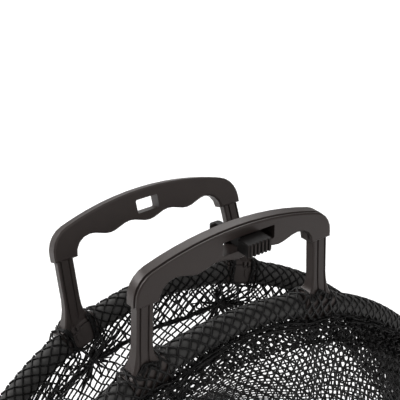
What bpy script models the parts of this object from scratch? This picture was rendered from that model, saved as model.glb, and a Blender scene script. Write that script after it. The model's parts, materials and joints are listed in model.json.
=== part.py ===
"""Fishing keepnet: a hooped bag with a purse mouth of two hinged half-round rims, each with a handle.

X runs along the hinge axis, Y from the front rim to the rear rim, Z up from the ground. The origin is
the middle of the base hoop's underside. The bag stands folded down, the front rim upright and the rear
rim leaning back.
"""

import math

import bmesh
import bpy
from mathutils import Vector

for existing in list(bpy.data.objects):
    bpy.data.objects.remove(existing)

MM = 0.001
GAP = 0.3 * MM  # between pieces that touch

# Hoops: radii to the wire's centre, and the wire's own radius
RIM_RADIUS = 170 * MM
HOOP_WIRE = 2.5 * MM
BASE_WIRE = 3 * MM
SECTION = 50 * MM  # hoop to hoop, folded down
HINGE_RISE = 20 * MM  # hinge axis above the mouth hoop

# Netting, drawn as thin closed skins
NET_THICK = 1.5 * MM
PANEL_BULGE = 17 * MM
FLAP_SAG = 28 * MM
FLAP_REACH = math.radians(80)  # each way round the rim from its top
FLAP_BAR = 5 * MM  # between a flap's openings, in its middle
FLAP_ACROSS = 12  # openings across a flap
FLAP_UP = 6  # openings from the hoop to the rim

# Rims: a rod bent to a half circle, with foam floats on it
ROD_RADIUS = 2.5 * MM
ROD_END = 12 * MM  # height of the round rod's end above the hinge axis
FLOAT_RADIUS = 6.75 * MM
FLOAT_START = math.radians(5.5)  # lowest float end, above the hinge axis
CLOSED_GAP = 0.5 * MM  # between the floats of the two rims, mouth shut
REAR_LEAN = math.radians(17.7)

# Hinges: a strap bent round the mouth hoop, its ends flat together between the rods' flattened ends
EYE_RADIUS = 7 * MM
EYE_THICK = 2.6 * MM
EYE_BLEND = 3.5 * MM  # length over which a rod changes to its flattened end, each way from the rod's end
STRAP_THICK = 1.5 * MM
STRAP_PARTS = 1.6  # where the ear's two leaves part, in loop radii above the hoop's middle
STRAP_OPENS = 1.2  # where they meet the loop
PIN_RADIUS = 2 * MM
PIN_HEAD_RADIUS = 4.5 * MM
PIN_HEAD_THICK = 1.5 * MM
PIN_CROWN_RADIUS = 3.2 * MM  # flat middle of the head
PIN_BRIM = 0.9 * MM  # thickness at the head's edge

# Handle bow, seen square on. Heights count from the step where the legs begin
STEP_RISE = 32.3 * MM  # above the rim's rod
BOW_HALF = 58.8 * MM
BOW_TOP_ARC = 164 * MM
BOW_CORNER = 13.9 * MM
BOW_INNER_HALF = 45.8 * MM
FINGER_PITCH = 24.4 * MM
FINGER_DEPTH = 2.8 * MM
BOW_EDGE = 0.9 * MM  # rounding of the bow's edges
FRONT_BOW_DEPTH = 9 * MM
FRONT_BOW_SETBACK = 3 * MM  # from the closing plane
REAR_BOW_DEPTH = 7.2 * MM
REAR_BOW_SETBACK = 0.5 * MM
BOW_GROOVE = 0.9 * MM  # width and depth of the groove round the front bow
BOW_LIP = 1.7 * MM  # thin rail between that groove and the front face
CUT_PAST = 1 * MM  # how far a cutter runs past what it cuts

# Handle legs and the feet that clamp the rod
LEG_WIDTH = 9.1 * MM
LEG_SHIFT = 0.55 * MM  # outward from the middle of the bow's end, at the step
LEG_SPLAY = 0.045
FRONT_LEG_DEPTH = 6.2 * MM
FRONT_LEG_SETBACK = 4.4 * MM
REAR_LEG_DEPTH = 5 * MM
REAR_LEG_SETBACK = 1.7 * MM
LEG_ROOT = 2 * MM  # how far a leg runs up inside the bow
LEG_GROOVES = (-1.55 * MM, 3.05 * MM)  # from the leg's middle, outward positive
LEG_GROOVE_HALF = 0.6 * MM
LEG_GROOVE_DEPTH = 0.8 * MM
LEG_EDGE = 0.7 * MM
FLARE_HEIGHT = 13 * MM
GROOVE_FADE = 0.8  # share of the grooves' depth that is gone where the flare ends
FOOT_HALF = 10 * MM
FOOT_OUT = 6.3 * MM  # from the rod's centre to the outer face
FOOT_IN = 5.2 * MM
FOOT_TOP = 7.2 * MM
FOOT_BOTTOM = 6.5 * MM
FOOT_CORNER = 1.6 * MM
FOOT_SHOULDER = 2.6 * MM  # part of the foot above its clamp cap
TAB_THICK = 0.8 * MM
TAB_WIDTH = 1.6 * MM
TAB_ROOT = 2.3 * MM  # height over which a tab slopes out of the cap
TAB_RISE = 1.8 * MM  # past the split line
TAB_PLACES = (1.1 * MM, 4 * MM)  # from the cap's middle, outward positive
BOSS_PLACE = 2.8 * MM
BOSS_WIDTH = 2.4 * MM
BOSS_HEIGHT = 4.8 * MM
BOSS_CORNER = 1.1 * MM
BOSS_RISE = 0.5 * MM

# Latch: a ribbed thumb slide in the front bow, and its hook, which locks behind the rear bow
WINDOW_LEFT = 10.2 * MM
WINDOW_RIGHT = 21 * MM
WINDOW_HEIGHT = 7.2 * MM
WINDOW_SILL = 2.3 * MM  # bow left under the window, at the ends of the finger waves
WINDOW_HEAD = 5.2 * MM  # bow left above it, in the middle
SLOT_HALF = 6.8 * MM
SLOT_CORNER = 0.8 * MM
PAD_LEFT = -2 * MM
PAD_WIDTH = 14 * MM
PAD_REACH = 9.2 * MM
RIB_COUNT = 6
RIB_PITCH = 2.2 * MM
RIB_DEPTH = 0.9 * MM
RIB_GAP = 0.15  # from a rib's cell edge to its root, in pitches
RIB_FLANK = 0.15  # width of each sloped side, in pitches
PAD_EDGE = 0.3 * MM
CARRIAGE_INSET = 2.5 * MM  # pad's ends past the carriage
CARRIAGE_SUNK = 1 * MM  # how far the carriage runs into the pad
PLATE_THICK = 1.4 * MM
PLATE_LAP = 2 * MM  # how far the back plate laps the window's edges
NECK_WIDTH = 3.5 * MM
LIP_REACH = 3 * MM
LIP_THICK = 1.8 * MM
LIP_CHAMFER = 1.1 * MM
HOOK_PLAY = 1.2 * MM  # above and below the hook in the rear bow's slot

# How finely the round pieces are drawn
HOOP_SEGMENTS = 48
HOOP_SIDES = 6
BASE_SIDES = 8
PANEL_SEGMENTS = 32
ROD_SIDES = 8
FLOAT_SIDES = 8
PIN_SIDES = 12

# Places that follow from the sizes
RIM_OFFSET = FLOAT_RADIUS + CLOSED_GAP / 2
BASE_Z = BASE_WIRE * math.cos(math.pi / BASE_SIDES)
LOWER_Z = BASE_Z + SECTION
UPPER_Z = LOWER_Z + SECTION
MOUTH_Z = UPPER_Z + SECTION
HINGE_Z = MOUTH_Z + HINGE_RISE
STEP_HEIGHT = RIM_RADIUS + STEP_RISE  # above the hinge axis
BORE_RADIUS = ROD_RADIUS + GAP
ROD_CORE = 0.8 * ROD_RADIUS  # box that fits inside the round rod
PIN_HOLE = PIN_RADIUS + GAP
LOOP_RADIUS = HOOP_WIRE + GAP + EYE_RADIUS * math.tan(math.pi / HOOP_SEGMENTS) + STRAP_THICK / 2
LOOP_REACH = LOOP_RADIUS + STRAP_THICK / 2 + GAP
EAR_HALF = GAP / 2 + STRAP_THICK
EYE_NEAR = EAR_HALF + GAP
EYE_FAR = EYE_NEAR + EYE_THICK
WAVE_HALF = 1.5 * FINGER_PITCH
BOW_INNER_RISE = BOW_INNER_HALF - WAVE_HALF
WINDOW_LOW = BOW_INNER_RISE + WINDOW_SILL
WINDOW_HIGH = WINDOW_LOW + WINDOW_HEIGHT
BOW_RISE = WINDOW_HIGH + WINDOW_HEAD
LEG_CENTRE = (BOW_HALF + BOW_INNER_HALF) / 2 + LEG_SHIFT
FOOT_SPLIT = FOOT_TOP - FOOT_SHOULDER
FOOT_REACH = RIM_RADIUS + FOOT_TOP
LEG_LINE = LEG_CENTRE + LEG_SPLAY * STEP_HEIGHT
FOOT_ANGLE = math.asin(LEG_LINE / (FOOT_REACH * math.hypot(1, LEG_SPLAY))) - math.atan(LEG_SPLAY)
FOOT_SPAN = FOOT_HALF / RIM_RADIUS
FLOAT_GAP = GAP / RIM_RADIUS
HOOK_REACH = REAR_BOW_SETBACK + REAR_BOW_DEPTH + GAP

FRONT = -1  # sign of Y on the front rim's side
REAR = 1

# Colour, roughness and metallic value of each material
MOULDED = ((0.045, 0.038, 0.036), 0.5, 0.0)
COATED_WIRE = ((0.02, 0.02, 0.02), 0.4, 0.2)
STEEL = ((0.42, 0.42, 0.43), 0.35, 1.0)
FOAM = ((0.04, 0.04, 0.038), 0.9, 0.0)
NETTING = ((0.01, 0.01, 0.01), 0.8, 0.0)


def empty(name, location, lean=0.0):
    """Carrier on a joint's axis; the pieces that move together hang on it."""
    carrier = bpy.data.objects.new(name, None)
    carrier.empty_display_size = 0.05
    carrier.location = location
    carrier.rotation_euler = (lean, 0, 0)
    bpy.context.scene.collection.objects.link(carrier)
    return carrier


def piece(name, shape, carrier, finish):
    """Named solid made of points and faces, with its faces pointing out and a material of its own."""
    points, faces = shape
    mesh = bpy.data.meshes.new(name)
    mesh.from_pydata([tuple(point) for point in points], [], faces)
    solid = bmesh.new()
    solid.from_mesh(mesh)
    bmesh.ops.recalc_face_normals(solid, faces=solid.faces)
    solid.to_mesh(mesh)
    solid.free()
    mesh.shade_smooth()
    mesh.set_sharp_from_angle(angle=math.radians(35))
    colour, roughness, metallic = finish
    material = bpy.data.materials.new(name + "_finish")
    material.use_nodes = True
    shader = material.node_tree.nodes["Principled BSDF"]
    shader.inputs["Base Color"].default_value = (*colour, 1)
    shader.inputs["Roughness"].default_value = roughness
    shader.inputs["Metallic"].default_value = metallic
    mesh.materials.append(material)
    solid_object = bpy.data.objects.new(name, mesh)
    solid_object.parent = carrier
    bpy.context.scene.collection.objects.link(solid_object)
    return solid_object


def boolean(target, tools, operation):
    """Join the tools to the target or cut them out of it, and hide them."""
    for tool in tools:
        tool.hide_render = True
        tool.display_type = "WIRE"
        change = target.modifiers.new(tool.name, "BOOLEAN")
        change.operation = operation
        change.solver = "EXACT"
        change.object = tool


def wall(first, rows, count, closed):
    """Faces between neighbouring rings of points, numbered from first."""
    faces = []
    for i in range(rows if closed else rows - 1):
        here = first + i * count
        there = first + (i + 1) % rows * count
        for j in range(count):
            k = (j + 1) % count
            faces.append((here + j, here + k, there + k, there + j))
    return faces


def loft(rings, closed=False):
    """Skin a row of like rings. An open row gets flat ends, a closed one joins up."""
    count = len(rings[0])
    faces = wall(0, len(rings), count, closed)
    if not closed:
        last = (len(rings) - 1) * count
        faces += [tuple(range(count)), tuple(range(last, last + count))]
    return [point for ring in rings for point in ring], faces


def pipe(outer, inner):
    """Skin a tube with a bore from its outer and inner rings."""
    rows = len(outer)
    count = len(outer[0])
    bore = rows * count
    faces = wall(0, rows, count, False) + wall(bore, rows, count, False)
    for end in (0, (rows - 1) * count):
        for j in range(count):
            k = (j + 1) % count
            faces.append((end + j, end + k, bore + end + k, bore + end + j))
    return [point for ring in outer + inner for point in ring], faces


def lattice(top, bottom):
    """Close two like grids of points into one thin body. Every cell between two bars each way is open."""
    rows = len(top)
    columns = len(top[0])

    def solid(i, j):
        inside = 0 <= i < rows - 1 and 0 <= j < columns - 1
        return inside and (i % 2 == 0 or j % 2 == 0)

    def at(level, i, j):
        return (level * rows + i) * columns + j

    faces = []
    for i in range(rows - 1):
        for j in range(columns - 1):
            if not solid(i, j):
                continue
            corners = [(i, j), (i, j + 1), (i + 1, j + 1), (i + 1, j)]
            faces += [tuple(at(level, *corner) for corner in corners) for level in (0, 1)]
            beside = [(i - 1, j), (i, j + 1), (i + 1, j), (i, j - 1)]
            for here, there, cell in zip(corners, corners[1:] + corners[:1], beside):
                if not solid(*cell):
                    faces.append((at(0, *here), at(0, *there), at(1, *there), at(1, *here)))
    return [point for row in top + bottom for point in row], faces


def arc(centre, radius, start, end, steps):
    """Points of an arc, both ends included."""
    turns = [start + (end - start) * i / steps for i in range(steps + 1)]
    return [(centre[0] + radius * math.cos(turn), centre[1] + radius * math.sin(turn)) for turn in turns]


def polygon(radius, sides):
    """Regular polygon with a flat side down."""
    start = -math.pi / 2 + math.pi / sides
    return arc((0, 0), radius, start, start + 2 * math.pi * (1 - 1 / sides), sides - 1)


def rounded_box(left, right, low, high, corner):
    """Rectangle with round corners, anticlockwise."""
    quarter = math.pi / 2
    return (
        arc((right - corner, low + corner), corner, -quarter, 0, 3)
        + arc((right - corner, high - corner), corner, 0, quarter, 3)
        + arc((left + corner, high - corner), corner, quarter, 2 * quarter, 3)
        + arc((left + corner, low + corner), corner, 2 * quarter, 3 * quarter, 3)
    )


def inset(outline, depth):
    """Anticlockwise outline with every side moved inward by the same depth."""
    points = [Vector(point) for point in outline]
    moved = []
    for i, here in enumerate(points):
        along_in = (here - points[i - 1]).normalized()
        along_out = (points[(i + 1) % len(points)] - here).normalized()
        side_in = Vector((-along_in.y, along_in.x))
        side_out = Vector((-along_out.y, along_out.x))
        moved.append(here + (side_in + side_out) * depth / (1 + side_in.dot(side_out)))
    return moved


def turned(section, segments):
    """Closed section of radius and height, turned about Z."""
    turns = [2 * math.pi * i / segments for i in range(segments)]
    rings = [[(r * math.cos(turn), r * math.sin(turn), z) for r, z in section] for turn in turns]
    return loft(rings, closed=True)


def on_rim(side, angle, inward, outward):
    """Point on a rim: angle from the rim's top, inward to the other rim, outward along the radius."""
    reach = RIM_RADIUS + outward
    return (reach * math.sin(angle), side * (RIM_OFFSET - inward), reach * math.cos(angle))


def rim_rings(side, section, start, end, steps):
    """Like sections set square to the rim at even angles."""
    turns = [start + (end - start) * i / steps for i in range(steps + 1)]
    return [[on_rim(side, turn, u, v) for u, v in section] for turn in turns]


def hoop(name, wire, sides, carrier):
    """Ring of round wire, its lowest side flat."""
    section = [(RIM_RADIUS + r, z) for r, z in polygon(wire, sides)]
    return piece(name, turned(section, HOOP_SEGMENTS), carrier, COATED_WIRE)


def base_panel(carrier):
    """Round floor of netting inside the base hoop."""
    radius = RIM_RADIUS - BASE_WIRE - GAP
    rings = []
    for z in (-NET_THICK / 2, NET_THICK / 2):
        turns = [2 * math.pi * i / HOOP_SEGMENTS for i in range(HOOP_SEGMENTS)]
        rings.append([(radius * math.cos(turn), radius * math.sin(turn), z) for turn in turns])
    return piece("base_net", loft(rings), carrier, NETTING)


def side_panel(name, low_wire, high_wire, carrier):
    """Skin of netting round two hoops, folded out twice between them."""
    steps = 6
    fit = 1 / math.cos(math.pi / PANEL_SEGMENTS)
    middle = []
    for i in range(steps + 1):
        share = i / steps
        wire = low_wire + (high_wire - low_wire) * share
        radius = (RIM_RADIUS + wire + GAP) * fit + NET_THICK / 2
        height = GAP / 2 + (SECTION - GAP) * share
        middle.append(Vector((radius + PANEL_BULGE * math.sin(2 * math.pi * share) ** 2, height)))
    outer = []
    inner = []
    for i, point in enumerate(middle):
        along = (middle[min(i + 1, steps)] - middle[max(i - 1, 0)]).normalized()
        if i in (0, steps):
            along = Vector((0, 1))
        across = Vector((along.y, -along.x)) * NET_THICK / 2
        outer.append(tuple(point + across))
        inner.append(tuple(point - across))
    return piece(name, turned(outer + inner[::-1], PANEL_SEGMENTS), carrier, NETTING)


def bar_edges(openings, bar):
    """Shares of the way at which the bars of a grid begin and end, with a bar at each end."""
    pitch = (1 - bar) / openings
    return [number * pitch + edge for number in range(openings + 1) for edge in (0, bar)]


def flap(name, side, lean, carrier):
    """Netting from half of the mouth hoop up to the underside of one rim, as a coarse grid of bars."""
    hoop_height = -HINGE_RISE + HOOP_WIRE + GAP + NET_THICK / 2
    edge = -FLOAT_RADIUS - GAP - NET_THICK / 2

    def middle(across, up):
        angle = FLAP_REACH * across
        x, y, z = on_rim(side, angle, 0, edge)
        high = Vector((x, y * math.cos(lean) - z * math.sin(lean), y * math.sin(lean) + z * math.cos(lean)))
        low = Vector((RIM_RADIUS * math.sin(angle), side * RIM_RADIUS * math.cos(angle), hoop_height))
        rise = high - low
        out = Vector((0, side * rise.z, -side * rise.y)).normalized()
        return low + rise * up - out * FLAP_SAG * math.sin(math.pi * up) * math.cos(angle) ** 2

    length = (middle(0, 1) - middle(0, 0)).length
    small = 0.001
    top = []
    bottom = []
    for across in bar_edges(FLAP_ACROSS, FLAP_BAR / (2 * RIM_RADIUS * FLAP_REACH)):
        across = 2 * across - 1
        top.append([])
        bottom.append([])
        for up in bar_edges(FLAP_UP, FLAP_BAR / length):
            along = middle(across + small, up) - middle(across - small, up)
            climb = middle(across, up + small) - middle(across, up - small)
            off = along.cross(climb).normalized() * NET_THICK / 2
            top[-1].append(middle(across, up) + off)
            bottom[-1].append(middle(across, up) - off)
    return piece(name, lattice(top, bottom), carrier, NETTING)


def pin_cutter(name, x, carrier):
    """Bore for a rivet, on the hinge axis."""
    reach = EYE_FAR + CUT_PAST
    rings = [[(x + end, y, z) for y, z in polygon(PIN_HOLE, PIN_SIDES)] for end in (-reach, reach)]
    cutter = piece(name, loft(rings), carrier, STEEL)
    cutter.hide_render = True
    cutter.display_type = "WIRE"
    return cutter


def bracket(name, x, carrier, cutter):
    """Strap bent round the mouth hoop, its two ends flat together as the ear between the rods' eyes."""
    leaf = (GAP + STRAP_THICK) / 2
    path = [(leaf, EYE_RADIUS * math.sin(math.radians(turn)), 0.0) for turn in range(75, -1, -15)]
    path.append((leaf, STRAP_PARTS * LOOP_RADIUS - HINGE_RISE, 0.0))
    path.append((leaf + STRAP_THICK / 3, STRAP_OPENS * LOOP_RADIUS - HINGE_RISE, math.radians(30)))
    for degrees in range(50, -61, -22):
        turn = math.radians(degrees)
        path.append((LOOP_RADIUS * math.cos(turn), LOOP_RADIUS * math.sin(turn) - HINGE_RISE, turn))
    mirrored = [(-across, z, math.pi - turn) for across, z, turn in path[::-1]]
    path += [(0, -LOOP_RADIUS - HINGE_RISE, -math.pi / 2)] + mirrored
    rings = []
    for across, z, turn in path:
        half = math.sqrt(EYE_RADIUS**2 - max(z, 0) ** 2)
        ring = []
        for out, y in ((1, -half), (1, half), (-1, half), (-1, -half)):
            off = out * STRAP_THICK / 2
            ring.append((x + across + off * math.cos(turn), y, z + off * math.sin(turn)))
        rings.append(ring)
    strap = piece(name, loft(rings), carrier, STEEL)
    boolean(strap, [cutter], "DIFFERENCE")
    return strap


def rivet(name, x, carrier):
    """Rivet through the ear and both eyes, headed at each end."""
    half = EYE_FAR + GAP
    end = half + PIN_HEAD_THICK
    brim = half + PIN_BRIM
    steps = [(-end, PIN_CROWN_RADIUS), (-brim, PIN_HEAD_RADIUS), (-half, PIN_HEAD_RADIUS)]
    steps += [(-half, PIN_RADIUS), (half, PIN_RADIUS)]
    steps += [(half, PIN_HEAD_RADIUS), (brim, PIN_HEAD_RADIUS), (end, PIN_CROWN_RADIUS)]
    rings = [[(x + along, y, z) for y, z in polygon(radius, PIN_SIDES)] for along, radius in steps]
    return piece(name, loft(rings), carrier, STEEL)


def hull(name, corners, carrier):
    """Convex solid round a set of points."""
    solid = bmesh.new()
    for corner in corners:
        solid.verts.new(corner)
    wrapped = bmesh.ops.convex_hull(solid, input=solid.verts)
    spare = list(set(wrapped["geom_interior"] + wrapped["geom_unused"]))
    bmesh.ops.delete(solid, geom=spare, context="VERTS")
    bmesh.ops.dissolve_limit(solid, angle_limit=0.01, verts=solid.verts, edges=solid.edges)
    solid.verts.index_update()
    points = [vertex.co.copy() for vertex in solid.verts]
    faces = [tuple(vertex.index for vertex in face.verts) for face in solid.faces]
    solid.free()
    return piece(name, (points, faces), carrier, STEEL)


def eye(name, side, x, carrier):
    """Flattened end of a rim's rod: a round eye about the hinge axis, and the cranked neck above it."""
    flat = (x + side * EYE_NEAR, x + side * EYE_FAR)
    rod_sides = (side * (RIM_OFFSET - ROD_CORE), side * (RIM_OFFSET + ROD_CORE))
    tab_top = ROD_END - EYE_BLEND + STRAP_THICK
    disc = [(across, y, z) for across in flat for y, z in polygon(EYE_RADIUS, 2 * PIN_SIDES)]
    disc += [(across, y, tab_top) for across in flat for y in rod_sides]
    neck = [(across, y, z) for across in flat for y in rod_sides for z in (ROD_END - EYE_BLEND, tab_top)]
    for across in (x - ROD_CORE, x + ROD_CORE):
        neck += [(across, y, z) for y in rod_sides for z in (ROD_END + EYE_BLEND - GAP, ROD_END + EYE_BLEND)]
    return [hull(name, disc, carrier), hull(name + "_neck", neck, carrier)]


def rod(name, side, carrier, cutters):
    """Half-round rod with a flattened, drilled eye at each end."""
    reach = math.acos(ROD_END / RIM_RADIUS)
    section = [(u, v) for v, u in polygon(ROD_RADIUS, ROD_SIDES)]
    bent = piece(name, loft(rim_rings(side, section, -reach, reach, 40)), carrier, STEEL)
    eyes = []
    for word, x in (("left", -RIM_RADIUS), ("right", RIM_RADIUS)):
        eyes += eye(f"{name}_{word}_eye", side, x, carrier)
    boolean(bent, eyes, "UNION")
    boolean(bent, cutters, "DIFFERENCE")
    return bent


def foam(name, side, start, end, steps, carrier):
    """Foam sleeve on the rod between two angles."""
    outer = [(u, v) for v, u in polygon(FLOAT_RADIUS, FLOAT_SIDES)]
    bore = [(u, v) for v, u in polygon(BORE_RADIUS, FLOAT_SIDES)]
    shape = pipe(rim_rings(side, outer, start, end, steps), rim_rings(side, bore, start, end, steps))
    return piece(name, shape, carrier, FOAM)


def floats(prefix, side, carrier):
    """Two side floats from the hinges to the feet, and one between the feet."""
    foot_inner = FOOT_ANGLE - FOOT_SPAN - FLOAT_GAP
    foot_outer = FOOT_ANGLE + FOOT_SPAN + FLOAT_GAP
    low = math.pi / 2 - FLOAT_START
    foam(prefix + "_float_left", side, -low, -foot_outer, 12, carrier)
    foam(prefix + "_float_centre", side, -foot_inner, foot_inner, 6, carrier)
    foam(prefix + "_float_right", side, foot_outer, low, 12, carrier)


def bow_outline():
    """Handle bow seen square on: arched top, finger waves below."""
    quarter = math.pi / 2
    arch_centre = BOW_RISE - BOW_TOP_ARC
    corner_x = BOW_HALF - BOW_CORNER
    corner_z = arch_centre + math.sqrt((BOW_TOP_ARC - BOW_CORNER) ** 2 - corner_x**2)
    lean = math.atan2(corner_z - arch_centre, corner_x)
    outer = [(BOW_HALF, 0)] + arc((corner_x, corner_z), BOW_CORNER, 0, lean, 5)
    outer += arc((0, arch_centre), BOW_TOP_ARC, lean, math.pi - lean, 12)[1:-1]
    outer += arc((-corner_x, corner_z), BOW_CORNER, math.pi - lean, math.pi, 5) + [(-BOW_HALF, 0)]
    inner = arc((-WAVE_HALF, 0), BOW_INNER_RISE, 2 * quarter, quarter, 4)
    steps = 24
    for i in range(1, steps):
        x = -WAVE_HALF + 2 * WAVE_HALF * i / steps
        dip = FINGER_DEPTH / 2 * (1 + math.cos(2 * math.pi * x / FINGER_PITCH))
        inner.append((x, BOW_INNER_RISE - dip))
    inner += arc((WAVE_HALF, 0), BOW_INNER_RISE, quarter, 0, 4)
    return outer + inner


def bow(name, side, carrier):
    """The arched top of a handle, its edges rounded; the front one has a groove round it."""
    if side == FRONT:
        near = -FRONT_BOW_SETBACK
        far = near - FRONT_BOW_DEPTH
        groove = far + BOW_LIP + BOW_GROOVE
        slope = BOW_GROOVE / 4
        levels = [(near, BOW_EDGE), (near - BOW_EDGE, 0), (groove, 0), (groove - slope, BOW_GROOVE)]
        levels += [(far + BOW_LIP - slope, BOW_GROOVE), (far + BOW_LIP - 2 * slope, slope)]
        levels += [(far + BOW_EDGE * 2 / 3, slope), (far, BOW_EDGE)]
    else:
        near = REAR_BOW_SETBACK
        far = near + REAR_BOW_DEPTH
        levels = [(near, BOW_EDGE), (near + BOW_EDGE, 0), (far - BOW_EDGE, 0), (far, BOW_EDGE)]
    outline = bow_outline()
    rings = [[(x, y, STEP_HEIGHT + z) for x, z in inset(outline, depth)] for y, depth in levels]
    return piece(name, loft(rings), carrier, MOULDED)


def leg_section(half, low, high, groove):
    """Leg cut across: chamfered corners and two grooves down each broad face."""
    face = [(-half + LEG_EDGE, 0)]
    for middle in LEG_GROOVES:
        face += [(middle - LEG_GROOVE_HALF, 0), (middle - LEG_GROOVE_HALF / 2, groove)]
        face += [(middle + LEG_GROOVE_HALF / 2, groove), (middle + LEG_GROOVE_HALF, 0)]
    face.append((half - LEG_EDGE, 0))
    points = [(x, low + depth) for x, depth in face]
    points += [(half, low + LEG_EDGE), (half, high - LEG_EDGE)]
    points += [(x, high - depth) for x, depth in face[::-1]]
    points += [(-half, high - LEG_EDGE), (-half, low + LEG_EDGE)]
    return points


def leg(name, side, hand, carrier):
    """Grooved leg from inside the bow down to the foot, flared where it meets the foot."""
    depth = FRONT_LEG_DEPTH if side == FRONT else REAR_LEG_DEPTH
    near = FRONT_LEG_SETBACK if side == FRONT else REAR_LEG_SETBACK
    foot_near = RIM_OFFSET - FOOT_IN + GAP
    foot_far = RIM_OFFSET + FOOT_OUT - FOOT_CORNER / 2
    foot_height = FOOT_REACH * math.cos(FOOT_ANGLE)
    levels = [(STEP_HEIGHT + LEG_ROOT, 0.0), (STEP_HEIGHT, 0.0)]
    for share in (0, 0.35, 0.6, 0.8, 0.93, 1):
        height = foot_height + FLARE_HEIGHT * (1 - share)
        levels.append((height, 1 - math.sqrt(1 - share**2)))
    levels = [(LEG_CENTRE + LEG_SPLAY * (STEP_HEIGHT - height), height, flare) for height, flare in levels]
    sunk = RIM_RADIUS + FOOT_SPLIT + GAP
    levels.append((sunk * math.sin(FOOT_ANGLE), sunk * math.cos(FOOT_ANGLE), 1.0))
    foot_half = (FOOT_HALF - GAP) * math.cos(FOOT_ANGLE)
    rings = []
    for middle, height, flare in levels:
        half = LEG_WIDTH / 2 + flare * (foot_half - LEG_WIDTH / 2)
        low = near + flare * (foot_near - near)
        high = near + depth + flare * (foot_far - near - depth)
        shear = min(1, flare * 2) * math.tan(FOOT_ANGLE)
        groove = LEG_GROOVE_DEPTH * (1 - GROOVE_FADE * flare)
        ring = []
        for x, y in leg_section(half, low, high, groove):
            ring.append((hand * (middle + x), side * y, height - shear * x))
        rings.append(ring)
    return piece(name, loft(rings), carrier, MOULDED)


def foot_section():
    """Foot cut across the rod: outer half of the bore, and the shoulder above the clamp cap."""
    quarter = math.pi / 2
    split = GAP / 2
    open_angle = math.asin(split / BORE_RADIUS)
    high_centre = FOOT_TOP - FOOT_CORNER
    low_centre = -FOOT_BOTTOM + FOOT_CORNER
    points = [(-split, -FOOT_BOTTOM)]
    points += arc((0, 0), BORE_RADIUS, 3 * quarter - open_angle, quarter + open_angle, 6)
    points += [(-split, FOOT_SPLIT), (FOOT_IN, FOOT_SPLIT)]
    points += arc((FOOT_IN - FOOT_CORNER, high_centre), FOOT_CORNER, 0, quarter, 3)
    points += arc((-FOOT_OUT + FOOT_CORNER, high_centre), FOOT_CORNER, quarter, 2 * quarter, 3)
    points += arc((-FOOT_OUT + FOOT_CORNER, low_centre), FOOT_CORNER, 2 * quarter, 3 * quarter, 3)
    return points


def foot(name, side, hand, carrier):
    """Clamp foot swept along the rod."""
    middle = hand * FOOT_ANGLE
    rings = rim_rings(side, foot_section(), middle - FOOT_SPAN, middle + FOOT_SPAN, 4)
    return piece(name, loft(rings), carrier, MOULDED)


def clamp_cap(name, side, hand, carrier):
    """Cap that closes a foot round the rod, with two snap tabs and a long low boss."""
    split = GAP / 2
    top = FOOT_SPLIT - GAP
    quarter = math.pi / 2
    open_angle = math.asin(split / BORE_RADIUS)
    section = [(split, top)]
    section += arc((0, 0), BORE_RADIUS, quarter - open_angle, open_angle - quarter, 6)
    section.append((split, -FOOT_BOTTOM))
    section += arc((FOOT_IN - FOOT_CORNER, -FOOT_BOTTOM + FOOT_CORNER), FOOT_CORNER, -quarter, 0, 3)
    section.append((FOOT_IN, top))
    middle = hand * FOOT_ANGLE
    rings = rim_rings(side, section, middle - FOOT_SPAN, middle + FOOT_SPAN, 4)
    cap = piece(name, loft(rings), carrier, MOULDED)
    face = FOOT_IN + GAP
    tip = FOOT_SPLIT + TAB_RISE
    shoulder = top - TAB_THICK / 2
    tab = [(FOOT_IN - TAB_THICK, top - TAB_ROOT), (face + TAB_THICK, top), (face + TAB_THICK, tip)]
    tab += [(face, tip), (face, shoulder), (FOOT_IN - TAB_THICK, shoulder)]
    extras = []
    for number, place in enumerate(TAB_PLACES, 1):
        start = middle + (hand * place - TAB_WIDTH / 2) / RIM_RADIUS
        rings = rim_rings(side, tab, start, start + TAB_WIDTH / RIM_RADIUS, 1)
        extras.append(piece(f"{name}_tab_{number}", loft(rings), carrier, MOULDED))
    centre = hand * BOSS_PLACE
    reach = BOSS_WIDTH / 2
    outline = rounded_box(centre - reach, centre + reach, -BOSS_HEIGHT / 2, BOSS_HEIGHT / 2, BOSS_CORNER)
    rings = []
    for inward in (FOOT_IN - BOSS_RISE, FOOT_IN + BOSS_RISE):
        rings.append([on_rim(side, middle + a / RIM_RADIUS, inward, b) for a, b in outline])
    extras.append(piece(name + "_boss", loft(rings), carrier, MOULDED))
    boolean(cap, extras, "UNION")
    return cap


def window_cutter(name, left, right, near, far, carrier):
    """Rectangular opening through a bow."""
    outline = rounded_box(left, right, STEP_HEIGHT + WINDOW_LOW, STEP_HEIGHT + WINDOW_HIGH, SLOT_CORNER)
    return piece(name, loft([[(x, y, z) for x, z in outline] for y in (near, far)]), carrier, MOULDED)


def handle(name, side, carrier):
    """Moulded handle: bow, two legs, two clamp feet, and the latch's window or slot."""
    body = bow(name, side, carrier)
    parts = []
    for word, hand in (("left", -1), ("right", 1)):
        parts.append(leg(f"{name}_{word}_leg", side, hand, carrier))
        parts.append(foot(f"{name}_{word}_foot", side, hand, carrier))
    boolean(body, parts, "UNION")
    if side == FRONT:
        near = -FRONT_BOW_SETBACK + CUT_PAST
        far = -FRONT_BOW_SETBACK - FRONT_BOW_DEPTH - CUT_PAST
        cutter = window_cutter("front_window", -WINDOW_LEFT, WINDOW_RIGHT, near, far, carrier)
    else:
        near = REAR_BOW_SETBACK - CUT_PAST
        far = REAR_BOW_SETBACK + REAR_BOW_DEPTH + CUT_PAST
        cutter = window_cutter("rear_slot", -SLOT_HALF, SLOT_HALF, near, far, carrier)
    boolean(body, [cutter], "DIFFERENCE")
    return body


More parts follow.
